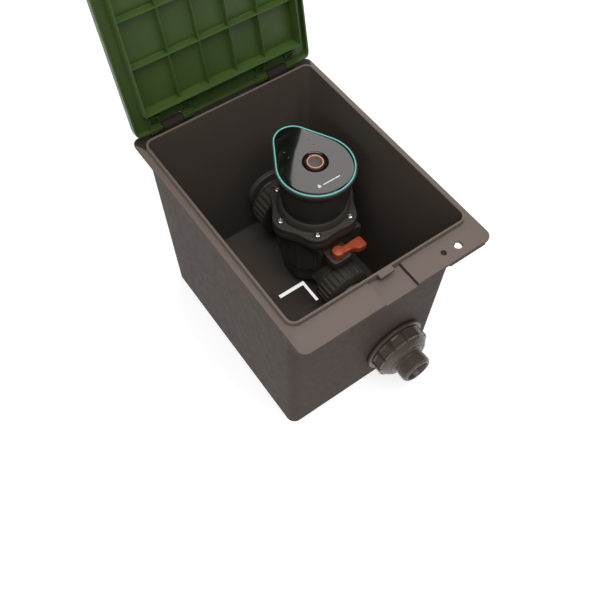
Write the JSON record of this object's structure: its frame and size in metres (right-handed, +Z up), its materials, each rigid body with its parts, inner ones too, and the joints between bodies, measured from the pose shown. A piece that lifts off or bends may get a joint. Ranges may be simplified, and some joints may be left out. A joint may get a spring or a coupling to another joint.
{
  "type": "irrigation controller",
  "caption": "Battery irrigation valve with a teardrop controller head, in an in-ground valve box with a hinged ribbed lid and threaded pipe ends.",
  "frame": {"origin": "middle of the base, on the ground", "axes": "+Z up, +Y back towards the lid's hinge, +X right"},
  "size_m": [0.1972, 0.34, 0.4708],
  "materials": {
    "box_plastic": "satin moulded plastic",
    "lid_plastic": "satin moulded plastic",
    "black_plastic": "satin moulded plastic",
    "gloss_black": "polished",
    "fitting_plastic": "satin moulded plastic",
    "black_rubber": "matt",
    "steel": "satin",
    "lever_orange": "satin",
    "teal_line": "satin",
    "button_brown": "satin",
    "button_orange": "gloss",
    "board_green": "coated board",
    "battery_steel": "painted steel sleeve",
    "coil_copper": "varnished copper wire"
  },
  "bodies": {
    "box": {"box_shell": "box_plastic", "drain_plate": "box_plastic", "valve_body": "black_plastic", "bonnet": "black_plastic", "bonnet_screw_1": "steel", "bonnet_screw_2": "steel", "bonnet_screw_3": "steel", "bonnet_screw_4": "steel", "bonnet_screw_5": "steel", "bonnet_screw_6": "steel", "diaphragm": "black_rubber", "diaphragm_spring": "steel", "inlet_tube": "fitting_plastic", "inlet_seal": "black_rubber", "outlet_tube": "fitting_plastic", "outlet_seal": "black_rubber", "wall_gasket": "black_rubber", "back_wall_gasket": "black_rubber", "head_seal": "black_rubber"},
    "lid": {"lid": "lid_plastic", "hinge_pin_left": "steel", "hinge_pin_right": "steel"},
    "bolt": {"lock_bolt": "black_plastic"},
    "seat": {"seat_disc": "black_plastic"},
    "lever": {"manual_lever": "lever_orange", "lever_shaft": "steel"},
    "inlet_union": {"inlet_union_nut": "black_plastic"},
    "outlet_union": {"outlet_union_nut": "black_plastic"},
    "front_nut": {"wall_nut": "fitting_plastic"},
    "back_nut": {"back_wall_nut": "fitting_plastic"},
    "head": {"controller_housing": "black_plastic", "head_base": "black_plastic", "head_screw_1": "steel", "head_screw_2": "steel", "head_screw_3": "steel", "face_plate": "gloss_black", "teal_ring": "teal_line", "circuit_board": "board_green", "battery": "battery_steel", "battery_tray": "black_plastic", "battery_clip": "black_plastic", "solenoid_coil": "coil_copper", "core_tube": "steel", "button_spring": "steel", "plunger_spring": "steel"},
    "button": {"button": "button_brown", "button_ring": "button_orange"},
    "plunger": {"plunger": "steel"}
  },
  "joints": [
    {"name": "lid_hinge", "type": "hinge", "parent": "box", "child": "lid", "pos_m": [0, 0.1229, 0.215], "axis": [-1, 0, 0], "range_deg": [-102.5, 0]},
    {"name": "bolt_turn", "type": "hinge", "parent": "lid", "child": "bolt", "pos_m": [0.0684, 0.17755, 0.46152], "axis": [0, 0.9763, -0.2164], "continuous": true},
    {"name": "seat_lift", "type": "slide", "parent": "box", "child": "seat", "axis": [0, 0, 1], "range_m": [0, 0.005], "stiffness_N_per_m": 400, "springref_m": -0.004, "deforming": ["diaphragm", "diaphragm_spring"]},
    {"name": "lever_turn", "type": "hinge", "parent": "box", "child": "lever", "pos_m": [0.034, -0.02, 0.092], "axis": [0, 0, -1], "range_deg": [0, 90]},
    {"name": "inlet_union_turn", "type": "hinge", "parent": "box", "child": "inlet_union", "pos_m": [0.036, 0.084, 0.068], "axis": [0, 1, 0], "continuous": true},
    {"name": "outlet_union_turn", "type": "hinge", "parent": "box", "child": "outlet_union", "pos_m": [0.036, -0.03, 0.046], "axis": [0, -1, 0], "continuous": true},
    {"name": "front_nut_turn", "type": "hinge", "parent": "box", "child": "front_nut", "pos_m": [0.036, -0.116, 0.046], "axis": [0, -1, 0], "continuous": true},
    {"name": "back_nut_turn", "type": "hinge", "parent": "box", "child": "back_nut", "pos_m": [0.036, 0.116, 0.068], "axis": [0, 1, 0], "continuous": true},
    {"name": "head_lift", "type": "slide", "parent": "box", "child": "head", "axis": [0, 0, 1], "range_m": [0, 0.014]},
    {"name": "button_press", "type": "slide", "parent": "head", "child": "button", "axis": [0, 0, -1], "range_m": [0, 0.0012], "stiffness_N_per_m": 800, "springref_m": -0.0006, "deforming": ["button_spring"]},
    {"name": "plunger_lift", "type": "slide", "parent": "head", "child": "plunger", "axis": [0, 0, 1], "range_m": [0, 0.0015], "stiffness_N_per_m": 150, "springref_m": -0.002, "deforming": ["plunger_spring"]}
  ]
}
